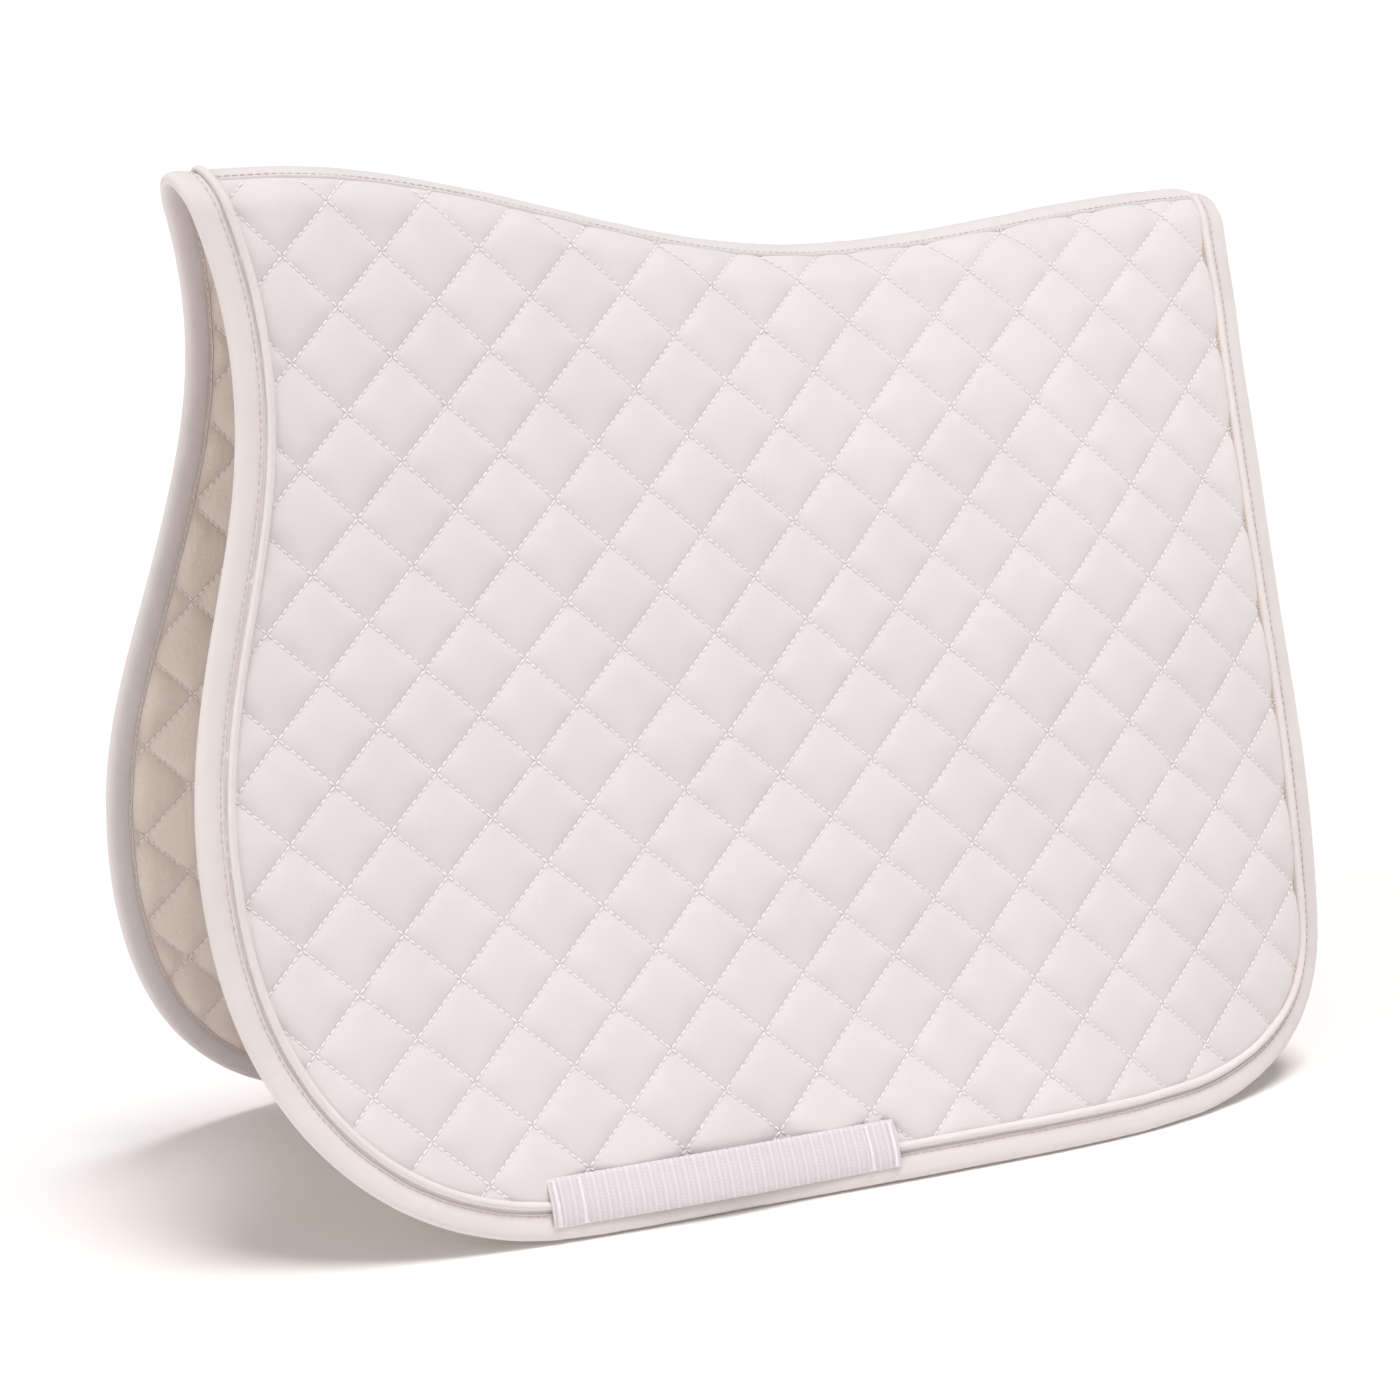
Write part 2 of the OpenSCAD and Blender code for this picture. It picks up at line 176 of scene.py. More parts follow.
def edge_line():
    top_f = float(ridge(np.array(60.0)))
    top_r = float(ridge(np.array(655.0)))
    down = 1 - np.linspace(0, 1, 900) ** 2          # closest together near the ridge
    zf = top_f * down
    zr = (top_r * down)[::-1]
    bottom = np.stack([np.linspace(FRONT_BOTTOM_X, REAR_BOTTOM_X, 120), np.zeros(120)], 1)
    xz = np.concatenate([np.stack([front_edge(zf), zf], 1), bottom[1:-1], np.stack([rear_edge(zr), zr], 1)])
    s = s_at(xz[:, 0], xz[:, 1])
    line = np.stack([xz[:, 0], s], 1)
    line[0, 1] = -level_arc(line[0, 0])
    line[-1, 1] = -level_arc(line[-1, 0])
    return resample(line, 2.0)


EDGE = edge_line()
EDGE_T = np.concatenate([[0], np.cumsum(np.linalg.norm(np.diff(EDGE, axis=0), axis=1))])


def edge_normals(line):
    t = unit(np.gradient(line, axis=0))
    n = np.stack([t[:, 1], -t[:, 0]], 1)
    n[0], n[-1] = (1, 0), (-1, 0)
    k = np.hanning(9)
    k /= k.sum()
    pad = np.concatenate([np.repeat(n[:1], 4, 0), n, np.repeat(n[-1:], 4, 0)])
    return unit(np.stack([np.convolve(pad[:, i], k, "valid") for i in (0, 1)], 1))


EDGE_N = edge_normals(EDGE)

tree = kdtree.KDTree(len(EDGE))
for i, p in enumerate(EDGE):
    tree.insert(Vector((p[0], p[1], 0)), i)
tree.balance()


def edge_distance(x, s):
    out = np.empty(x.size)
    for k, (a, b) in enumerate(zip(x.ravel(), s.ravel())):
        out[k] = tree.find(Vector((a, b, 0)))[2]
    return out.reshape(x.shape)


# ---- materials ------------------------------------------------------------------------

SIDE = 36.15               # side of a quilted square
PITCH = SIDE / 9           # of the quilting stitches


def srgb(r, g, b):
    return tuple(((c / 255 + 0.055) / 1.055) ** 2.4 for c in (r, g, b)) + (1,)


class Nodes:
    def __init__(self, name):
        self.mat = bpy.data.materials.new(name)
        self.mat.use_nodes = True
        self.tree = self.mat.node_tree
        self.bsdf = self.tree.nodes["Principled BSDF"]

    def add(self, kind, inputs=None, **props):
        n = self.tree.nodes.new(kind)
        for k, v in props.items():
            setattr(n, k, v)
        for k, v in (inputs or {}).items():
            if isinstance(v, bpy.types.NodeSocket):
                self.tree.links.new(v, n.inputs[k])
            else:
                n.inputs[k].default_value = v
        return n

    def math(self, op, a, b=0.0):
        return self.add("ShaderNodeMath", {0: a, 1: b}, operation=op).outputs[0]

    def link(self, a, b):
        self.tree.links.new(a, b)

    def noise(self, at, scale, detail, roughness, distortion=0.0):
        return self.add("ShaderNodeTexNoise", {"Vector": at, "Scale": scale, "Detail": detail,
                                               "Roughness": roughness, "Distortion": distortion}).outputs[0]

    def ramp(self, tone, dark, light, top):
        """Base colour from dark, where tone is 0, to light, where it is top."""
        ramp = self.add("ShaderNodeValToRGB", {0: tone})
        first, last = ramp.color_ramp.elements
        first.position, first.color = 0.0, dark
        last.position, last.color = top, light
        self.link(ramp.outputs[0], self.bsdf.inputs["Base Color"])

    def surface(self, roughness, sheen):
        self.bsdf.inputs["Roughness"].default_value = roughness
        self.bsdf.inputs["Specular IOR Level"].default_value = 0.2
        self.bsdf.inputs["Sheen Weight"].default_value = sheen
        self.bsdf.inputs["Sheen Roughness"].default_value = 0.6


def cloth(name, light, dark, pitch=0.55, weave=0.12, fuzz=0.25, crimp=0.0, roughness=0.92, sheen=0.25,
          quilted=False):
    """Woven cotton. The mesh attribute fabric holds its millimetres, along the seams where it is quilted."""
    m = Nodes(name)
    at = m.add("ShaderNodeAttribute", attribute_name="fabric").outputs["Vector"]
    a, b, _ = m.add("ShaderNodeSeparateXYZ", {0: at}).outputs
    x, y = a, b
    if quilted:
        x = m.math("MULTIPLY", m.math("ADD", a, b), math.sqrt(0.5))
        y = m.math("MULTIPLY", m.math("SUBTRACT", a, b), math.sqrt(0.5))
    warp = m.math("SINE", m.math("MULTIPLY", x, 2 * math.pi / pitch))
    weft = m.math("SINE", m.math("MULTIPLY", y, 2 * math.pi / pitch))
    slub = m.noise(at, 1.6, 4.0, 0.7)
    lint = m.noise(at, 0.33, 5.0, 0.65)
    broad = m.noise(at, 0.018, 3.0, 0.5)
    height = m.math("MULTIPLY", m.math("MULTIPLY", warp, weft), weave)
    height = m.math("ADD", height, m.math("MULTIPLY", slub, fuzz))
    height = m.math("ADD", height, m.math("MULTIPLY", lint, fuzz * 1.5))
    if crimp:
        wrinkle = m.noise(at, 0.16, 3.0, 0.6, 0.8)
        height = m.math("ADD", height, m.math("MULTIPLY", wrinkle, crimp))
    if quilted:
        # fine upright wrinkles in patches, and a dimple where each stitch pulls the cloth in
        upright = m.add("ShaderNodeCombineXYZ", {0: m.math("MULTIPLY", x, 0.30),
                                                 1: m.math("MULTIPLY", y, 0.035)})
        patch = m.math("MAXIMUM", m.math("SUBTRACT", m.noise(at, 0.03, 1.0, 0.5), 0.52), 0.0)
        wrinkle = m.math("MULTIPLY", m.noise(upright.outputs[0], 1.0, 2.0, 0.5), patch)
        height = m.math("ADD", height, m.math("MULTIPLY", wrinkle, 9.0))
        for across, along in ((a, b), (b, a)):
            near = m.math("PINGPONG", across, SIDE / 2)
            near = m.math("EXPONENT", m.math("MULTIPLY", m.math("MULTIPLY", near, near), -0.6))
            beat = m.math("COSINE", m.math("MULTIPLY", along, 2 * math.pi / PITCH))
            height = m.math("SUBTRACT", height, m.math("MULTIPLY", near, m.math("MULTIPLY", beat, 0.28)))
    bump = m.add("ShaderNodeBump", {"Height": height, "Strength": 0.6, "Distance": 0.0006})
    m.link(bump.outputs[0], m.bsdf.inputs["Normal"])
    tone = m.math("ADD", m.math("MULTIPLY", broad, 0.55), m.math("MULTIPLY", slub, 0.35))
    # painted shade: low marks the seam valleys, stitch grooves and creases, and the colour is darkened there
    low = m.add("ShaderNodeAttribute", attribute_name="low").outputs["Fac"]
    tone = m.math("SUBTRACT", tone, m.math("MULTIPLY", low, 0.2))
    m.ramp(tone, dark, light, 0.55)
    m.surface(roughness, sheen)
    return m.mat


def ribbed(name, light, dark, period=5.8, bead=1.8):
    """Webbing: across it run straight cords, one every period, and between them plaited ones."""
    m = Nodes(name)
    at = m.add("ShaderNodeAttribute", attribute_name="fabric").outputs["Vector"]
    along, across, _ = m.add("ShaderNodeSeparateXYZ", {0: at}).outputs

    def rib(centre, thinness):
        off = m.math("PINGPONG", m.math("ADD", along, centre), period / 2)
        return off, m.math("EXPONENT", m.math("MULTIPLY", m.math("MULTIPLY", off, off), -thinness))

    _, cord = rib(0.0, 1.7)
    off, plait = rib(period / 2, 0.8)
    slant = m.math("MULTIPLY", m.math("ADD", across, m.math("MULTIPLY", off, 0.7)), 2 * math.pi / bead)
    beads = m.math("ADD", m.math("MULTIPLY", m.math("SINE", slant), 0.45), 0.55)
    tone = m.math("MAXIMUM", cord, m.math("MULTIPLY", plait, beads))
    bump = m.add("ShaderNodeBump", {"Height": tone, "Strength": 0.3, "Distance": 0.0004})
    m.link(bump.outputs[0], m.bsdf.inputs["Normal"])
    # painted shade: the colour follows the weave's relief, darker in the gaps between the cords and between
    # the plait's beads; the noise adds random tone
    m.ramp(m.math("ADD", tone, m.math("MULTIPLY", m.noise(at, 1.2, 3.0, 0.6), 0.15)), dark, light, 0.9)
    m.surface(0.75, 0.2)
    return m.mat


QUILT = cloth("quilted_cotton", srgb(226, 220, 221), srgb(214, 206, 205), crimp=0.5, quilted=True)
LINING = cloth("lining_cotton", srgb(243, 231, 223), srgb(233, 218, 207), crimp=1.2, quilted=True)
TAPE = cloth("binding_cotton", srgb(225, 217, 217), srgb(214, 205, 203), 0.5, 0.08, 0.18, 0.35)
SPINE = cloth("spine_cotton", srgb(224, 217, 218), srgb(213, 205, 206), 0.5, 0.08, 0.18, 0.6)
CORD = cloth("piping_cotton", srgb(229, 221, 220), srgb(218, 208, 206), 0.5, 0.08, 0.18, 0.3)
WEB = ribbed("keeper_webbing", srgb(222, 215, 219), srgb(207, 199, 204))
THREAD = cloth("sewing_thread", srgb(252, 249, 249), srgb(247, 244, 244), 0.9, 0.04, 0.03, roughness=0.8)
TAN = cloth("binding_thread", srgb(214, 196, 184), srgb(203, 182, 168), 0.9, 0.04, 0.03, roughness=0.8)
IVORY = cloth("rear_piping_line", srgb(233, 218, 198), srgb(226, 208, 186), 0.9, 0.04, 0.03, roughness=0.8)
TACK = cloth("keeper_thread", srgb(240, 236, 240), srgb(233, 229, 234), 0.9, 0.04, 0.03, roughness=0.8)
WADDING = cloth("wadding_fibre", srgb(240, 238, 234), srgb(230, 227, 222), weave=0.0, fuzz=0.9, crimp=1.0)


# ---- meshes ---------------------------------------------------------------------------

def grid_quads(rows, cols, keep=None):
    i = np.arange(rows * cols).reshape(rows, cols)
    f = np.stack([i[:-1, :-1], i[1:, :-1], i[1:, 1:], i[:-1, 1:]], -1)
    return f[keep] if keep is not None else f.reshape(-1, 4)


def make(name, verts, faces, mat, off=False, fabric=None, low=None):
    """A smooth mesh from millimetre points of the near side; off mirrors it to the other side."""
    v = np.asarray(verts, float).reshape(-1, 3).copy()
    f = np.asarray(faces, int)
    used = np.unique(f)
    index = np.zeros(len(v), int)
    index[used] = np.arange(len(used))
    v, f = v[used], index[f]
    v = (v + (-LENGTH / 2, 0, LIFT)) / 1000
    if off:
        v[:, 1] *= -1
        f = f[:, ::-1]
    mesh = bpy.data.meshes.new(name)
    mesh.from_pydata(v.tolist(), [], f.tolist())
    mesh.polygons.foreach_set("use_smooth", np.ones(len(f), bool))
    a = mesh.attributes.new("fabric", "FLOAT_VECTOR", "POINT")
    fab = np.zeros((len(v), 3))
    if fabric is not None:
        fab[:, :fabric.shape[-1]] = fabric.reshape(-1, fabric.shape[-1])[used]
    else:
        fab = v * 1000
    a.data.foreach_set("vector", fab.astype(np.float32).ravel())
    # low: a mask of painted shade, by which the cloth materials darken their colour in seams and grooves
    b = mesh.attributes.new("low", "FLOAT", "POINT")
    b.data.foreach_set("value", (np.zeros(len(v)) if low is None else low.ravel()[used]).astype(np.float32))
    mesh.materials.append(mat)
    ob = bpy.data.objects.new(name, mesh)
    bpy.context.scene.collection.objects.link(ob)
    return ob


FLAP = {"near": "near_flap", "off": "off_flap"}


def bend(ob):
    """Bakes the object's transform into its mesh."""
    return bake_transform(ob)


# ---- the quilted panel ----------------------------------------------------------------

DIV = 16                   # mesh steps across a square, closer together beside its seams
CELL_A, CELL_B = range(-10, 17), range(-12, 17)
ORIGIN_X, ORIGIN_S = 201.7, 138.1
TURN = 0.0197              # of the quilting against the pad, in radians
PULL_FRONT, PULL_REAR, PULL_REACH = 2.6, 23.7, 173.5
PUFF = 3.0                 # height of the puffs over the seams
SEAM_O = 1.1               # offset of the sewn seams from the middle surface
EDGE_O = 2.1               # offset of the panel's faces where its edge is bound
QUILT_THREAD_R = 0.40
SIM_CELLS = 6              # the simulated cloth is this many squares long and wide
SLACK = 0.03               # its extra length, as a share
SEEDS = {"near": 11, "off": 23}

spread = (1 - np.cos(np.pi * np.arange(DIV + 1) / DIV)) / 2
spread = 0.55 * spread + 0.45 * np.arange(DIV + 1) / DIV
line_a = np.concatenate([(c + spread[:-1]) * SIDE for c in CELL_A] + [[(CELL_A[-1] + 1) * SIDE]])
line_b = np.concatenate([(c + spread[:-1]) * SIDE for c in CELL_B] + [[(CELL_B[-1] + 1) * SIDE]])
GA, GB = np.meshgrid(line_a, line_b, indexing="ij")


def quilt_at(a, b):
    """The pad's x and s at a and b along the two sets of seams; near the spine they are drawn to the rear."""
    u, v = (a + b) / math.sqrt(2), (a - b) / math.sqrt(2)
    x = ORIGIN_X + u * math.cos(TURN) - v * math.sin(TURN)
    s = ORIGIN_S + u * math.sin(TURN) + v * math.cos(TURN)
    near_spine = np.clip(1 - (s + level_arc(x)) / PULL_REACH, 0, 1.2) ** 2
    return x + (PULL_FRONT + PULL_REAR * (x / 600) ** 2) * near_spine, s


GX, GS = quilt_at(GA, GB)


def simulate_puffs():
    """A flat cloth sewn down along its seams and blown up between them. Its squares' displacements, in mm."""
    n = SIM_CELLS * DIV + 1
    rng = np.random.default_rng(5)
    u = np.arange(n) * SIDE / 100 / DIV
    x, y = np.meshgrid(u, u, indexing="ij")
    k = np.arange(n) % DIV == 0
    seam = k[:, None] | k[None, :]
    z = np.where(seam, 0, rng.normal(0, 0.0008, x.shape))
    mesh = bpy.data.meshes.new("sim")
    mesh.from_pydata(np.stack([x, y, z], -1).reshape(-1, 3).tolist(), [], grid_quads(n, n).tolist())
    ob = bpy.data.objects.new("sim", mesh)
    bpy.context.scene.collection.objects.link(ob)
    group = ob.vertex_groups.new(name="seams")
    group.add(np.flatnonzero(seam.ravel()).tolist(), 1.0, "REPLACE")
    c = ob.modifiers.new("cloth", "CLOTH")
    t = c.settings
    t.quality = 5
    t.mass = 0.15
    t.tension_stiffness = t.compression_stiffness = 80
    t.shear_stiffness = 27
    t.bending_stiffness = 0.01
    t.tension_damping = t.compression_damping = 5
    t.air_damping = 1
    t.shrink_min = t.shrink_max = -SLACK
    t.use_pressure = True
    t.uniform_pressure_force = 30
    t.vertex_group_mass = "seams"
    t.effector_weights.gravity = 0
    for k in range(1, 26):
        bpy.context.scene.frame_set(k)
    got = ob.evaluated_get(bpy.context.evaluated_depsgraph_get()).data
    co = np.empty(len(got.vertices) * 3)
    got.vertices.foreach_get("co", co)
    moved = (co.reshape(n, n, 3) - np.stack([x, y, 0 * x], -1)) * 100
    bpy.data.objects.remove(ob)
    bpy.data.meshes.remove(mesh)
    bpy.context.scene.frame_set(1)
    if moved[n // 2, DIV // 2, 2] < 0:
        moved[..., 2] *= -1
    cells = []
    for a in range(SIM_CELLS):
        for b in range(SIM_CELLS):
            cell = moved[a * DIV:(a + 1) * DIV + 1, b * DIV:(b + 1) * DIV + 1].copy()
            for _ in range(2):
                around = cell[:-2, 1:-1] + cell[2:, 1:-1] + cell[1:-1, :-2] + cell[1:-1, 2:]
                cell[1:-1, 1:-1] = (cell[1:-1, 1:-1] + around / 4) / 2
            cells.append(cell)
    return np.array(cells)


def at_spread(cell):
    """A square's displacements, moved from even steps to the mesh's uneven ones."""
    u = spread * DIV
    i = np.minimum(u.astype(int), DIV - 1)
    t = (u - i)[:, None, None]
    c = cell[i] * (1 - t) + cell[i + 1] * t
    c = c.transpose(1, 0, 2)
    return (c[i] * (1 - t) + c[i + 1] * t).transpose(1, 0, 2)


PUFFS = simulate_puffs()
PUFFS = np.array([at_spread(c) for c in PUFFS])
swell = np.maximum(PUFFS[..., 2], 0) / np.median(PUFFS[:, DIV // 2, DIV // 2, 2])
PUFFS[..., 2] = PUFF * swell ** 0.72      # fuller beside the seams than the thin simulated cloth


def puff_field(seed):
    """The displacement all over the panel: each square takes one of the simulated ones, turned some way."""
    rng = np.random.default_rng(seed)
    out = np.zeros(GX.shape + (3,))
    for i in range(len(CELL_A)):
        for j in range(len(CELL_B)):
            c = PUFFS[rng.integers(len(PUFFS))]
            flip_a, flip_b, swap = rng.integers(2, size=3)
            if flip_a:
                c = c[::-1] * (-1, 1, 1)
            if flip_b:
                c = c[:, ::-1] * (1, -1, 1)
            if swap:
                c = c.transpose(1, 0, 2)[..., (1, 0, 2)]
            high = 1 + 0.10 * (rng.random() - 0.5)
            out[i * DIV:(i + 1) * DIV + 1, j * DIV:(j + 1) * DIV + 1] = c * (0.6, 0.6, high)
    return out


ARC = GS + level_arc(GX)
GZ = middle(GX, q_of(GX, ARC))[..., 2]
inside = (ARC > -4) & (GZ > 0) & (GX > front_edge(GZ)) & (GX < rear_edge(GZ))
DIST = np.full(GX.shape, -1.0)
DIST[inside] = edge_distance(GX[inside], GS[inside])
KEEP_V = inside & (DIST > 3.5) & (ARC > 0.2) & (ARC < 600)
KEEP = KEEP_V[:-1, :-1] & KEEP_V[1:, :-1] & KEEP_V[:-1, 1:] & KEEP_V[1:, 1:]
ON_A = np.arange(GX.shape[0]) % DIV == 0     # rows of the mesh that lie on a seam
ON_B = np.arange(GX.shape[1]) % DIV == 0
# By face, 1 outside and -1 lining: how far in from the edge the squares rise, and half the spine
# tape's width
BORDER = {1: (17.0, 20.5), -1: (13.5, 17.5)}
SPINE_HALF = {1: 11.0, -1: 13.0}


def opened(dist, arc, face):
    """0 where the panel is sewn flat, along its border and spine, and 1 in the free quilt."""
    start, end = BORDER[face]
    return half_wave(dist, start, end) * half_wave(arc, SPINE_HALF[face] - 1, SPINE_HALF[face] + 5)


OPEN = opened(DIST, ARC, 1)


def panel_points(seed, puff_scale, face):
    d = puff_field(seed)
    free = opened(DIST, ARC, face)
    base = SEAM_O * free + EDGE_O * (1 - free)
    o = base + d[..., 2] * puff_scale * free
    x = GX + (d[..., 0] + d[..., 1]) / math.sqrt(2) * free
    s = GS + (d[..., 0] - d[..., 1]) / math.sqrt(2) * free
    return skin(x, s, face * o), o


def seam_valley_shade(o):
    """1 where the cloth is pulled down to a seam and 0 on the puffs; painted shade: the cloth's colour is
    darkened there, as shade in the seam's valley.
    """
    return np.clip(1 - (o - SEAM_O) / 0.5, 0, 1) * OPEN


def crease(ob, mask_quads):
    """Marks the sewn seams sharp, so that the cloth folds into them."""
    mesh = ob.data
    used = np.unique(grid_quads(*GX.shape, mask_quads))
    on = np.stack(np.broadcast_arrays(ON_A[:, None], ON_B[None, :]), -1).reshape(-1, 2)[used]
    loose = OPEN.ravel()[used] > 0.35
    e = np.empty(len(mesh.edges) * 2, int)
    mesh.edges.foreach_get("vertices", e)
    e = e.reshape(-1, 2)
    row = used // GX.shape[1]
    same_row = row[e[:, 0]] == row[e[:, 1]]
    along = np.where(same_row, on[e[:, 0], 0] & on[e[:, 1], 0], on[e[:, 0], 1] & on[e[:, 1], 1])
    sharp = mesh.attributes.new("sharp_edge", "BOOLEAN", "EDGE")
    sharp.data.foreach_set("value", along & loose[e[:, 0]] & loose[e[:, 1]])


def stitches(starts, ends, ups, radius, mat, name, off):
    """One short thread per pair of points, arched a little over the cloth."""
    starts, ends, ups = (np.asarray(v, float).reshape(-1, 3) for v in (starts, ends, ups))
    along = ends - starts
    t = unit(along)
    side = unit(np.cross(ups, t))
    up = np.cross(t, side)
    stations = np.array([0.0, 0.28, 0.72, 1.0])
    fat = np.array([0.4, 1.0, 1.0, 0.4])
    rise = np.array([-0.5, 0.35, 0.35, -0.5])
    sides = 5
    angles = np.arange(sides) * 2 * np.pi / sides + np.pi / 2
    n, k = len(starts), len(stations)
    ring = (np.cos(angles)[None, None, :, None] * side[:, None, None, :]
            + np.sin(angles)[None, None, :, None] * up[:, None, None, :])
    ring = ring * (radius * fat)[None, :, None, None]
    centre = (starts[:, None, :] + stations[None, :, None] * along[:, None, :]
              + rise[None, :, None] * radius * up[:, None, :])
    v = (centre[:, :, None, :] + ring).reshape(n, -1, 3)
    faces = []
    for a in range(k - 1):
        for b in range(sides):
            c = (b + 1) % sides
            faces.append((a * sides + b, a * sides + c, (a + 1) * sides + c))
            faces.append((a * sides + b, (a + 1) * sides + c, (a + 1) * sides + b))
    last = (k - 1) * sides
    for b in range(1, sides - 1):
        faces.append((b + 1, b, 0))
        faces.append((last, last + b, last + b + 1))
    f = (np.array(faces)[None] + (np.arange(n) * sides * k)[:, None, None]).reshape(-1, 3)
    return make(name, v.reshape(-1, 3), f, mat, off)


def quilt_stitches(face, name, off):
    """Threads along both sets of seams, PITCH apart."""
    starts, ends, ups = [], [], []
    half = PITCH * 0.42
    for axis in (0, 1):
        seams, other = (CELL_A, CELL_B) if axis == 0 else (CELL_B, CELL_A)
        run = np.arange(other[0] * SIDE + PITCH / 2, (other[-1] + 1) * SIDE, PITCH)
        for k in range(seams[0], seams[-1] + 2):
            fixed = np.full(len(run), k * SIDE)
            pair = (fixed, run) if axis == 0 else (run, fixed)
            x, s = quilt_at(*pair)
            arc = s + level_arc(x)
            z = middle(x, q_of(x, np.maximum(arc, 0)))[..., 2]
            ok = (arc > SPINE_HALF[face] + 1) & (arc < 600) & (z > 4)
            ok &= (x > front_edge(z) + 4) & (x < rear_edge(z) - 4)
            dist = np.zeros(len(run))
            dist[ok] = edge_distance(x[ok], s[ok])
            ok &= dist > BORDER[face][0] + 2.5
            if not ok.any():
                continue
            free = opened(dist, arc, face)[ok]
            o = face * (SEAM_O * free + EDGE_O * (1 - free) + 0.35)
            for points, shift in ((starts, -half), (ends, half)):
                moved = (fixed, run + shift) if axis == 0 else (run + shift, fixed)
                mx, ms = quilt_at(*moved)
                points.append(skin(mx[ok], ms[ok], o))
            ups.append(normal(x[ok], q_of(x[ok], arc[ok])) * face)
    return stitches(np.concatenate(starts), np.concatenate(ends), np.concatenate(ups), QUILT_THREAD_R, THREAD,
                    name, off)


# ---- strips along the edge ------------------------------------------------------------

def wobble(t, scale, seed):
    return np.array([noise.noise(Vector((v / scale, seed, 0.37))) for v in np.ravel(t)]).reshape(np.shape(t))


def edge_strip(d, o):
    """Points at insets d and offsets o of the pad's edge; both may vary along it."""
    x = EDGE[:, None, 0] + d * EDGE_N[:, None, 0]
    s = EDGE[:, None, 1] + d * EDGE_N[:, None, 1]
    for end in (0, -1):        # both ends lie on the ridge, where the other side's strip meets them
        s[end] = -level_arc(x[end]) - 0.2
    return skin(x, s, o)


BIND_W = 13.6              # of the binding on each face
STITCH_IN = 1.5            # of the topstitching from a tape's edge
TOPSTITCH = 4.2            # from one of the binding's topstitches to the next
TAPE_JOINS = ((80, 0.9), (232, 0.0))   # the binding's joins: x and slant
PIPE_IN, PIPE_R = 17.3, 2.2            # the piping's inset and radius
BIND_PROFILE = [
    (BIND_W, 2.0), (BIND_W - 0.05, 2.65), (BIND_W - 0.5, 2.85), (BIND_W - 1.0, 2.7), (BIND_W - 1.5, 2.5),
    (BIND_W - 2.1, 2.8), (BIND_W - 3.4, 3.15), (7.6, 3.4), (5.5, 3.45), (3.6, 3.3), (2.0, 2.8), (0.9, 2.0),
    (0.25, 1.0), (0.0, 0.0)]


def binding(side):
    half = np.array(BIND_PROFILE)
    profile = np.concatenate([half, (half * (1, -1))[-2::-1]])
    t = EDGE_T[:, None]
    d = np.broadcast_to(profile[:, 0], (len(EDGE), len(profile))).copy()
    o = np.broadcast_to(profile[:, 1], d.shape).copy()
    seed = 3.1 if side == "near" else 8.6
    w1 = wobble(EDGE_T, 14, seed)[:, None]
    w2 = wobble(EDGE_T, 5.5, seed + 2)[:, None]
    d += 0.35 * w1 * (profile[:, 0] > 10)
    belly = np.clip(1 - ((profile[:, 0] - 6) / 6) ** 2, 0, 1)
    o += np.sign(profile[:, 1]) * belly * (0.35 * w1 + 0.25 * w2)
    pucker = np.exp(-((profile[:, 0] - BIND_W + 2.6) / 1.6) ** 2)
    o += np.sign(profile[:, 1]) * pucker * 0.16 * np.cos(2 * np.pi * t / 8.4 + 3 * w1)
    arch = np.exp(-(t / 20) ** 2) * (profile[:, 1] < 0) * belly         # creases inside the front arch
    o -= arch * 0.55 * np.cos(2 * np.pi * t / 7.0 + profile[:, 0] * 0.35)
    below = slice(len(EDGE) // 5, -len(EDGE) // 3)      # round the front corner and along the bottom
    for at_x, slant in TAPE_JOINS:
        joined = np.interp(at_x, EDGE[below, 0], EDGE_T[below])
        past = t - joined - slant * (profile[:, 0] - 6)
        o += np.sign(profile[:, 1]) * belly * 0.4 * np.exp(-(past / 2.5) ** 2)
    p = edge_strip(d, o)
    fabric = np.stack([np.broadcast_to(t, d.shape), np.cumsum(np.hypot(*np.diff(
        np.concatenate([profile[:1], profile]), axis=0).T))[None, :] * np.ones(d.shape)], -1)
    # painted shade: a darker line in the groove along the topstitching
    low = np.exp(-((profile[:, 0] - BIND_W + 1.5) / 0.5) ** 2)[None] * np.ones(d.shape)
    ob = make(f"edge_binding_{side}", p, grid_quads(*d.shape)[:, ::-1], TAPE, side == "off",
              fabric, low)
    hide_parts(f"binding_{side}", "binding_crown_front", "binding_crown_rear")
    bend(ob)
    return ob


def line_stitches(line, ups, step, radius, name, off, lift=0.1, mat=TAN):
    """Threads along a line of points, a step apart, each lifted towards its up."""
    t = np.concatenate([[0], np.cumsum(np.linalg.norm(np.diff(line, axis=0), axis=1))])
    first = np.arange(0.0, t[-1] - step, step)

    def at(along, values):
        return np.stack([np.interp(along, t, values[:, k]) for k in range(3)], 1)

    u = unit(at(first + step / 2, ups))
    a = at(first + 0.12 * step, line)
    b = at(first + 0.88 * step, line)
    return stitches(a + u * lift, b + u * lift, u, radius, mat, name, off)


def edge_point_line(d, o):
    x = EDGE[:, 0] + d * EDGE_N[:, 0]
    s = EDGE[:, 1] + d * EDGE_N[:, 1]
    q = q_of(x, s + level_arc(x))
    return skin(x, s, o), normal(x, q) * np.sign(o)


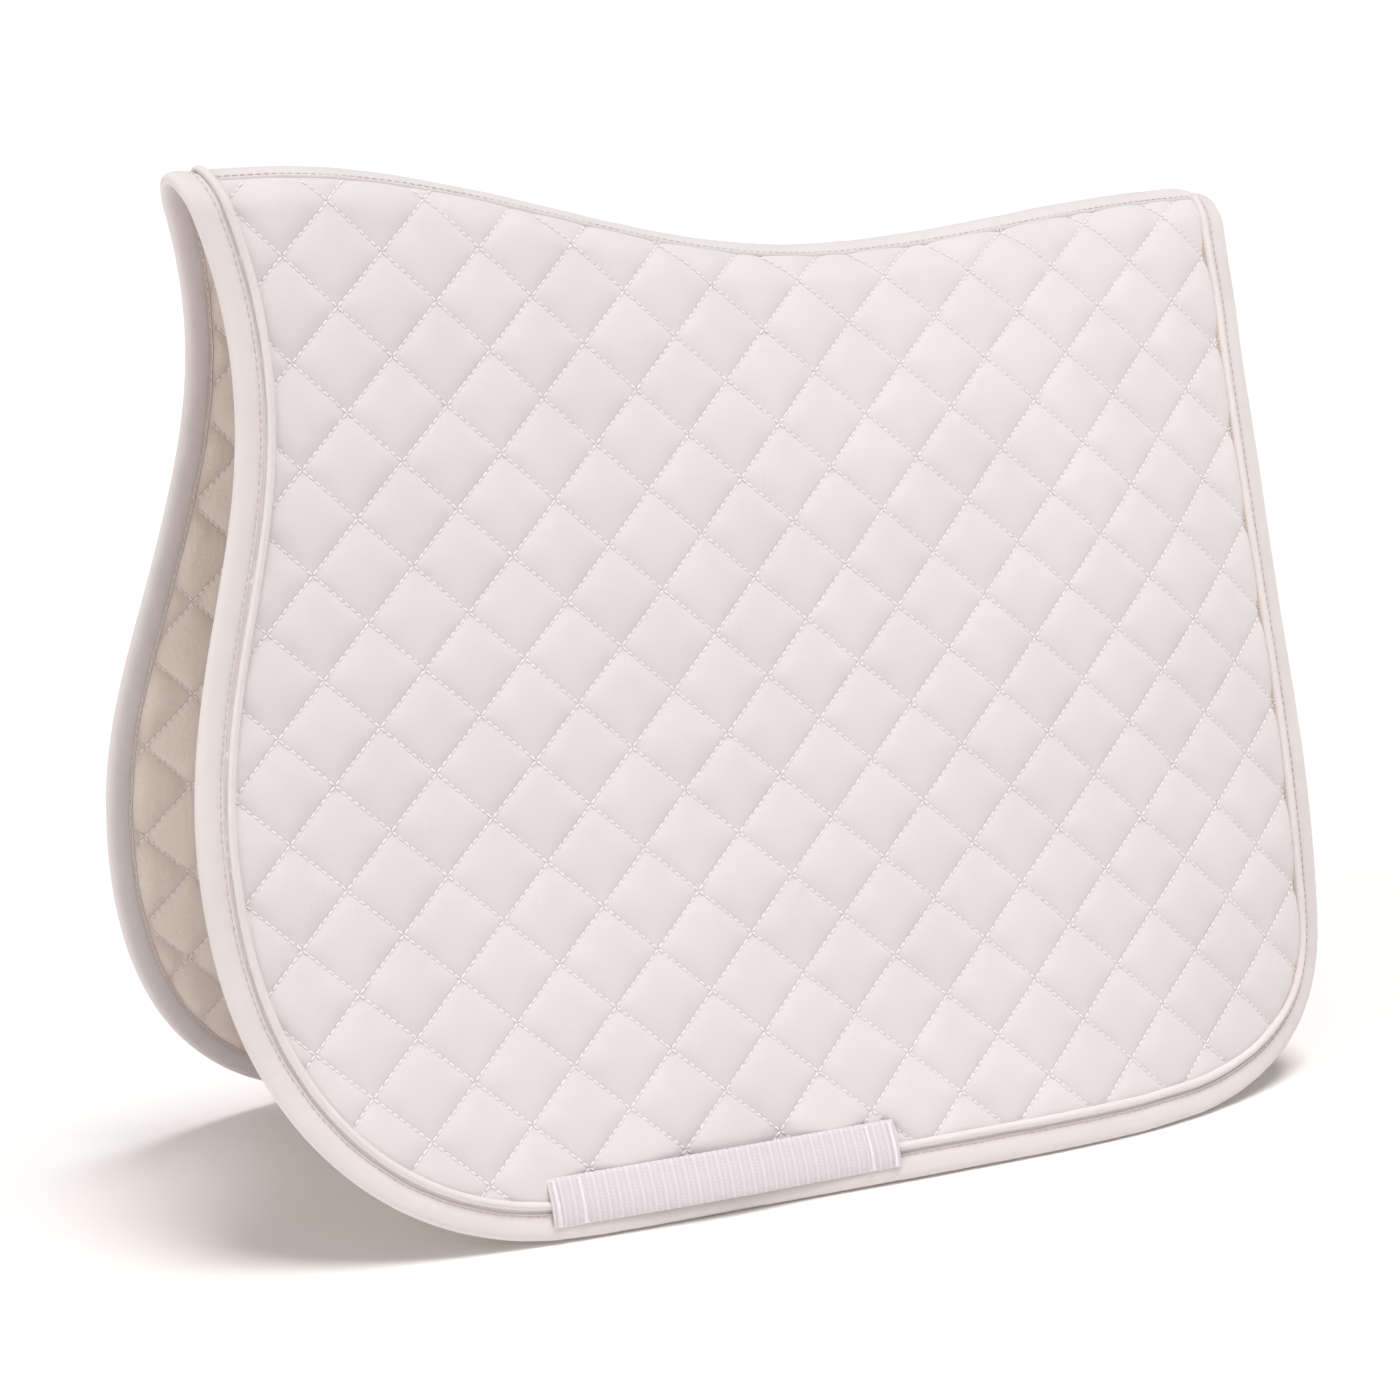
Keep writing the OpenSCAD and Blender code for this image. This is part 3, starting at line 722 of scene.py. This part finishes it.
def piping(side):
    sides = 14
    x = EDGE[:, 0] + PIPE_IN * EDGE_N[:, 0]
    s = EDGE[:, 1] + PIPE_IN * EDGE_N[:, 1]
    ok = np.ones(len(x), bool)
    rear_from = np.flatnonzero((EDGE[:, 0] > 500) & (s + level_arc(x) < 7.0))
    if len(rear_from):
        ok[rear_from[0]:] = False
    n = normal(x, q_of(x, s + level_arc(x)))
    c = skin(x, s, EDGE_O + 1.3)
    t = unit(np.gradient(c, axis=0))
    b = unit(np.cross(n, t))
    ang = np.arange(sides) * 2 * np.pi / sides
    seed = 5.2 if side == "near" else 6.9
    r = PIPE_R * (1 + 0.05 * wobble(EDGE_T, 7, seed)[:, None]
                  + 0.025 * np.sin(2 * np.pi * EDGE_T[:, None] / 4.4 + ang[None]))
    turn = np.cos(ang)[None, :, None] * n[:, None] + np.sin(ang)[None, :, None] * b[:, None]
    if len(rear_from):                       # the cord's end is drawn in under the spine tape
        r[rear_from[0] - 3:rear_from[0]] *= np.array([0.85, 0.55, 0.02])[:, None]
    p = c[:, None] + r[..., None] * turn
    p = p[ok]
    rows = len(p)
    i = np.arange(rows * sides).reshape(rows, sides)
    j = np.roll(i, -1, 1)
    f = np.stack([i[:-1], i[1:], j[1:], j[:-1]], -1).reshape(-1, 4)
    fabric = np.stack([np.broadcast_to(EDGE_T[ok][:, None], (rows, sides)),
                       np.broadcast_to(ang * PIPE_R, (rows, sides))], -1)
    ob = make(f"piping_cord_{side}", p, f, CORD, side == "off", fabric)
    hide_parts(f"piping_{side}", "piping_crown_front", "piping_crown_rear")
    return bend(ob)


def piping_seam(side):
    """A thin ivory line of short pieces beside the rear piping, along the quilt's edge."""
    line, ups = edge_point_line(19.8, 2.5)
    arc = EDGE[:, 1] + level_arc(EDGE[:, 0])
    rear = (EDGE[:, 0] > 600) & (arc > 30)
    ob = line_stitches(line[rear], ups[rear], 2.0, 0.42, f"piping_seam_{side}", side == "off", 0.0, mat=IVORY)
    return bend(ob)


# ---- the ridge tapes ------------------------------------------------------------------

def ridge_band(name, face, o, x0, x1, node):
    """A tape along the spine, outside (face 1) or under the lining (face -1), and its stitching lines."""
    cols = int((x1 - x0) / 2.5)
    x = np.linspace(x0, x1, cols)[None, :]
    half = SPINE_HALF[face] + 2.0 * half_wave(x, WITHER_X, WAIST_X)
    w = np.concatenate([np.linspace(-1, -0.85, 6), np.linspace(-0.85, 0.85, 15)[1:-1],
                        np.linspace(0.85, 1, 6)])
    a = w[:, None] * half
    x = np.broadcast_to(x, a.shape)
    q = q_of(x, a)
    inward = half - np.abs(a)
    from_end = np.minimum(x - x0, x1 - x)
    roll = np.sqrt(np.clip(inward / 1.2, 0, 1)) * np.clip(from_end / 2.0, 0, 1)
    slack = wobble(x[0], 22, half.mean())[None] * 0.35 + wobble(x[0], 6, half.mean() + 3)[None] * 0.15
    groove = np.exp(-((inward - STITCH_IN) / 0.6) ** 2)
    off = o - 1.7 * (1 - roll) - 0.3 * groove + slack * roll
    p = middle(x, q) + normal(x, q) * (face * off)[..., None]
    fabric = np.stack([x, a], -1)
    f = grid_quads(*q.shape)
    # painted shade: the groove along each stitch line also darkens the tape's colour
    ob = make(name, p, f if face < 0 else f[:, ::-1], SPINE, False, fabric, groove)
    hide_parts(node)
    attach(ob, "crown")
    lines = []
    for sign in (-1, 1):
        qq = q_of(x[0], sign * (half[0] - STITCH_IN))
        nrm = normal(x[0], qq) * face
        lines.append((middle(x[0], qq) + nrm * (o - 0.22), nrm))
    return ob, lines


# ---- build everything -----------------------------------------------------------------

for side in ("near", "off"):
    is_off = side == "off"
    seed = SEEDS[side]
    p, o = panel_points(seed, 1.0, 1)
    fab = np.stack([GA, GB], -1)
    outer = make(f"quilt_outer_{side}", p, grid_quads(*GX.shape, KEEP), QUILT, is_off, fab,
                 seam_valley_shade(o))
    crease(outer, KEEP)
    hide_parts(f"outer_cloth_{side}", f"outer_cloth_crown_{side}")
    bend(outer)
    bend(quilt_stitches(1, f"quilt_stitches_outer_{side}", is_off))

    pl, ol = panel_points(seed + 1, 0.9, -1)
    lining = make(f"quilt_lining_{side}", pl, grid_quads(*GX.shape, KEEP)[:, ::-1], LINING,
                  is_off, fab, seam_valley_shade(ol))
    crease(lining, KEEP)
    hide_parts(f"lining_{side}", f"lining_crown_{side}")
    bend(lining)
    bend(quilt_stitches(-1, f"quilt_stitches_lining_{side}", is_off))

    sub = (slice(None, None, 2), slice(None, None, 2))
    kv = KEEP_V[sub]
    k2 = kv[:-1, :-1] & kv[1:, :-1] & kv[:-1, 1:] & kv[1:, 1:]
    top = skin(GX[sub], GS[sub], (o - 0.35)[sub])
    under = skin(GX[sub], GS[sub], -(ol - 0.35)[sub])
    rows, cols = kv.shape
    f1 = grid_quads(rows, cols, k2)
    count = rows * cols
    edges = dict.fromkeys(pair for quad in f1.tolist() for pair in zip(quad, quad[1:] + quad[:1]))
    rim = [(a, b) for a, b in edges if (b, a) not in edges]
    walls = [(b, a, a + count, b + count) for a, b in rim]
    f = np.concatenate([f1, (f1 + count)[:, ::-1], np.array(walls)])
    both_faces = np.concatenate([top.reshape(-1, 3), under.reshape(-1, 3)])
    fill = make(f"wadding_fill_{side}", both_faces, f, WADDING, is_off)
    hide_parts(f"wadding_{side}", f"wadding_crown_{side}")
    bend(fill)

    binding(side)
    for nm, sg in (("outer", 1), ("lining", -1)):
        line, ups = edge_point_line(BIND_W - STITCH_IN, sg * 2.62)
        st = line_stitches(line, ups, TOPSTITCH, 0.3, f"binding_stitches_{nm}_{side}", is_off, 0.1)
        bend(st)
    piping(side)
    piping_seam(side)

X_FRONT = float(front_edge(np.array(WITHER_Z - 5.0))) + 19.5
X_REAR = float(rear_edge(np.array(CROUP_Z - 5.0))) - BIND_W + 1.0
SPINE_O = 3.7              # offset of the spine tapes from the middle surface
_, lines = ridge_band("ridge_tape", 1, SPINE_O, X_FRONT, X_REAR, "ridge_tape_outer")
for k, (line, ups) in enumerate(lines):
    st = line_stitches(line, ups, 4.0, 0.28, f"ridge_tape_stitches_{'ab'[k]}", False, 0.1)
    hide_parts("ridge_stitching")
    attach(st, "crown")
_, lines = ridge_band("ridge_tape_under", -1, SPINE_O, X_FRONT - 4, X_REAR, "ridge_tape_inner")
for k, (line, ups) in enumerate(lines):
    st = line_stitches(line, ups, 4.0, 0.28, f"under_tape_stitches_{'ab'[k]}", False, 0.1)
    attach(st, "crown")


# ---- girth keepers --------------------------------------------------------------------

KEEP_X, KEEP_L, KEEP_W = 147.0, 186.0, 25.0
KEEP_IN, SEWN = 6.5, 16.0              # its inset from the lower edge, and the length sewn down at each end
TACK_ROWS = (3.0, SEWN, KEEP_L - SEWN, KEEP_L - 3.0)


def keeper(side):
    is_off = side == "off"
    cols, rows = 400, 19
    u = np.linspace(0, 1, cols)[None, :]
    w = np.linspace(-1, 1, rows)[:, None]

    def web_point(u, w, lift):
        x = KEEP_X + KEEP_L * u
        bottom = s_at(np.ravel(x), np.full(np.size(x), 0.5)).reshape(np.shape(x))
        inset = KEEP_IN + KEEP_W / 2 * (1 - w)
        s = bottom - inset
        along = (u - 0.5) * KEEP_L / (KEEP_L - 2 * SEWN)
        loop = np.where(np.abs(along) < 0.5, np.cos(np.pi * along) ** 2, 0)
        ridge_o = 4.4 + 1.6 * np.exp(-((inset - 17.2) / 8.5) ** 2)
        droop = 0.7 * np.abs(w) ** 3
        x, s, o = np.broadcast_arrays(x, s, ridge_o - droop * (1 - loop) + 3.2 * loop + lift)
        return skin(x, s, o)

    rib = 0.08 * np.cos(2 * np.pi * u * KEEP_L / 2.9)
    thin = 1.5 * np.sqrt(np.clip(1 - np.abs(w) ** 8, 0.05, 1))
    press = 0
    for c in TACK_ROWS:
        press = press + 0.05 * np.exp(-((u * KEEP_L - c) / 1.6) ** 2)
    end = np.clip(np.minimum(u, 1 - u) * KEEP_L / 0.8, 0, 1) ** 0.5
    top = web_point(u, w, thin * end + rib * (1 - w ** 8) - press)
    under = web_point(u, w, -0.05 - rib * 0.6)
    n = rows * cols
    f1 = grid_quads(rows, cols)
    i = np.arange(n).reshape(rows, cols)
    rim = np.concatenate([i[0, :], i[1:, -1], i[-1, -2::-1], i[-2:0:-1, 0]])
    nxt = np.roll(rim, -1)
    walls = np.stack([rim, nxt, nxt + n, rim + n], 1)
    f = np.concatenate([f1[:, ::-1], f1 + n, walls[:, ::-1]])[:, ::-1]
    fab = np.stack(np.broadcast_arrays(u * KEEP_L, w * KEEP_W / 2), -1)
    ob = make(f"keeper_webbing_{side}", np.concatenate([top.reshape(-1, 3), under.reshape(-1, 3)]), f, WEB,
              is_off, np.concatenate([fab.reshape(-1, 2), fab.reshape(-1, 2)]))
    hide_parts(f"girth_keeper_{side}")
    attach(ob, FLAP[side])
    starts, ends, ups = [], [], []
    for c in TACK_ROWS:
        count = 52
        for k in range(count):
            wk = -0.9 + 1.8 * k / (count - 1)
            wn = -0.9 + 1.8 * (k + 1) / (count - 1)
            flip = 1 if k % 2 else -1
            a = web_point(np.array([(c - 1.6 * flip) / KEEP_L]), np.array([wk]), 1.75)[0]
            b = web_point(np.array([(c + 1.6 * flip) / KEEP_L]), np.array([wn]), 1.75)[0]
            at = np.array([c / KEEP_L]), np.array([wk])
            z = web_point(*at, 2.5)[0] - web_point(*at, 1.5)[0]
            starts.append(a)
            ends.append(b)
            ups.append(z)
    st = stitches(starts, ends, unit(np.array(ups)), 0.28, TACK, f"keeper_tacks_{side}", is_off)
    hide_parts(f"keeper_bartacks_{side}")
    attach(st, FLAP[side])


for side in ("near", "off"):
    keeper(side)

# ---- floor, light and camera ----------------------------------------------------------

floor_mesh = bpy.data.meshes.new("floor")
R = 30.0
floor_mesh.from_pydata([(-R, -R, 0), (R, -R, 0), (R, R, 0), (-R, R, 0)], [], [(0, 1, 2, 3)])
floor = bpy.data.objects.new("floor", floor_mesh)
bpy.context.scene.collection.objects.link(floor)
pale = Nodes("pale_floor")
pale.bsdf.inputs["Base Color"].default_value = (0.96, 0.935, 0.915, 1)
pale.bsdf.inputs["Roughness"].default_value = 0.9
floor_mesh.materials.append(pale.mat)

world = bpy.data.worlds.new("studio")
bpy.context.scene.world = world
world.use_nodes = True
sky = world.node_tree
direction = sky.nodes.new("ShaderNodeTexCoord").outputs["Generated"]
height = sky.nodes.new("ShaderNodeSeparateXYZ")
sky.links.new(direction, height.inputs[0])
shade = sky.nodes.new("ShaderNodeValToRGB")      # a white surround at eye level, dimmer overhead
sky.links.new(height.outputs[2], shade.inputs[0])
low_sky, high_sky = shade.color_ramp.elements
low_sky.position, low_sky.color = 0.04, (1, 1, 1, 1)
high_sky.position, high_sky.color = 0.16, (0.40, 0.40, 0.40, 1)
sky.links.new(shade.outputs[0], sky.nodes["Background"].inputs["Color"])

for name, power, width, tint, towards in (
        ("overhead", 2.2, 24, (1, 1, 1), (0.10, -0.19, 0.98)),
        ("from_the_front", 0.85, 50, (1, 0.94, 0.90), (-0.88, -0.28, 0.36))):
    sun = bpy.data.lights.new(name, "SUN")
    sun.energy = power
    sun.angle = math.radians(width)
    sun.color = tint
    sun_at = bpy.data.objects.new(name, sun)
    bpy.context.scene.collection.objects.link(sun_at)
    sun_at.rotation_euler = Vector(towards).to_track_quat("Z", "Y").to_euler()

camera_data = bpy.data.cameras.new("camera")
camera_data.sensor_width = 36
camera_data.lens = 75.42
camera_data.clip_end = 100
camera = bpy.data.objects.new("camera", camera_data)
bpy.context.scene.collection.objects.link(camera)
az, el, roll = (math.radians(v) for v in (-28.5, 13.04, -1.89))
forward = Vector((-math.sin(az) * math.cos(el), math.cos(az) * math.cos(el), -math.sin(el)))
right = Vector((math.cos(az), math.sin(az), 0))
up = right.cross(forward)
right, up = right * math.cos(roll) + up * math.sin(roll), up * math.cos(roll) - right * math.sin(roll)
facing = Matrix((right, up, -forward)).transposed().to_4x4()
camera.matrix_world = Matrix.Translation((-0.75825, -1.3629, 0.58724)) @ facing
bpy.context.scene.camera = camera
bpy.context.scene.view_settings.view_transform = "Standard"
